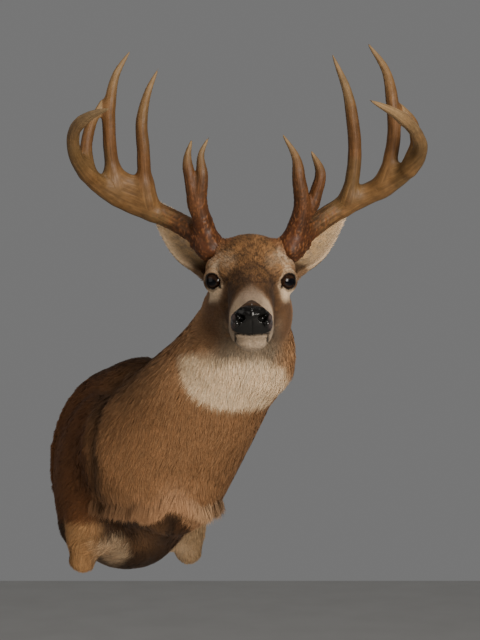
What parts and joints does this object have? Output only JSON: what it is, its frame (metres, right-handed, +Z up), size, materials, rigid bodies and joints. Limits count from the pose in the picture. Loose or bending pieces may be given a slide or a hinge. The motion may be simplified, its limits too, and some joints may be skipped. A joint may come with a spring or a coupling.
{
  "type": "whitetail buck shoulder mount",
  "caption": "Life-size shoulder mount of a whitetail buck in a semi-upright pose, body turned and face to the front, with a branched rack and a flush back board that hangs on a wall.",
  "frame": {"origin": "centre of the back board's wall face", "axes": "+Z up, +Y into the wall, +X towards the buck's left side; the face looks along -Y"},
  "size_m": [0.6893, 0.6422, 0.9011],
  "materials": {
    "hide": "short dense deer hair, golden brown with white throat and muzzle marks",
    "nose": "moist black pebbled skin",
    "eye": "polished glass eye, near black with a dark brown iris",
    "antler": "satin antler bone, reddish brown and beaded at the base, tan with fine grooves above, ivory tips",
    "board": "plain plywood",
    "hanger": "zinc-plated sheet steel"
  },
  "bodies": {
    "root": {"trunk": "hide", "neck_lower": "hide", "neck_upper": "hide", "head": "hide", "lower_jaw": "hide", "upper_leg_right": "hide", "upper_leg_left": "hide", "ear_right": "hide", "ear_left": "hide", "nose_pad": "nose", "eye_right": "eye", "eye_left": "eye", "antler_right_beam_base": "antler", "antler_right_beam_mid": "antler", "antler_right_beam_upper": "antler", "antler_right_beam_tip": "antler", "antler_right_brow_inner": "antler", "antler_right_brow_outer": "antler", "antler_right_tine_2": "antler", "antler_right_tine_3": "antler", "antler_right_tine_4": "antler", "antler_left_beam_base": "antler", "antler_left_beam_mid": "antler", "antler_left_beam_upper": "antler", "antler_left_beam_tip": "antler", "antler_left_brow_inner": "antler", "antler_left_brow_outer": "antler", "antler_left_tine_2": "antler", "antler_left_tine_3": "antler", "antler_left_tine_4": "antler", "back_board": "board", "hanger_plate": "hanger"}
  },
  "joints": []
}
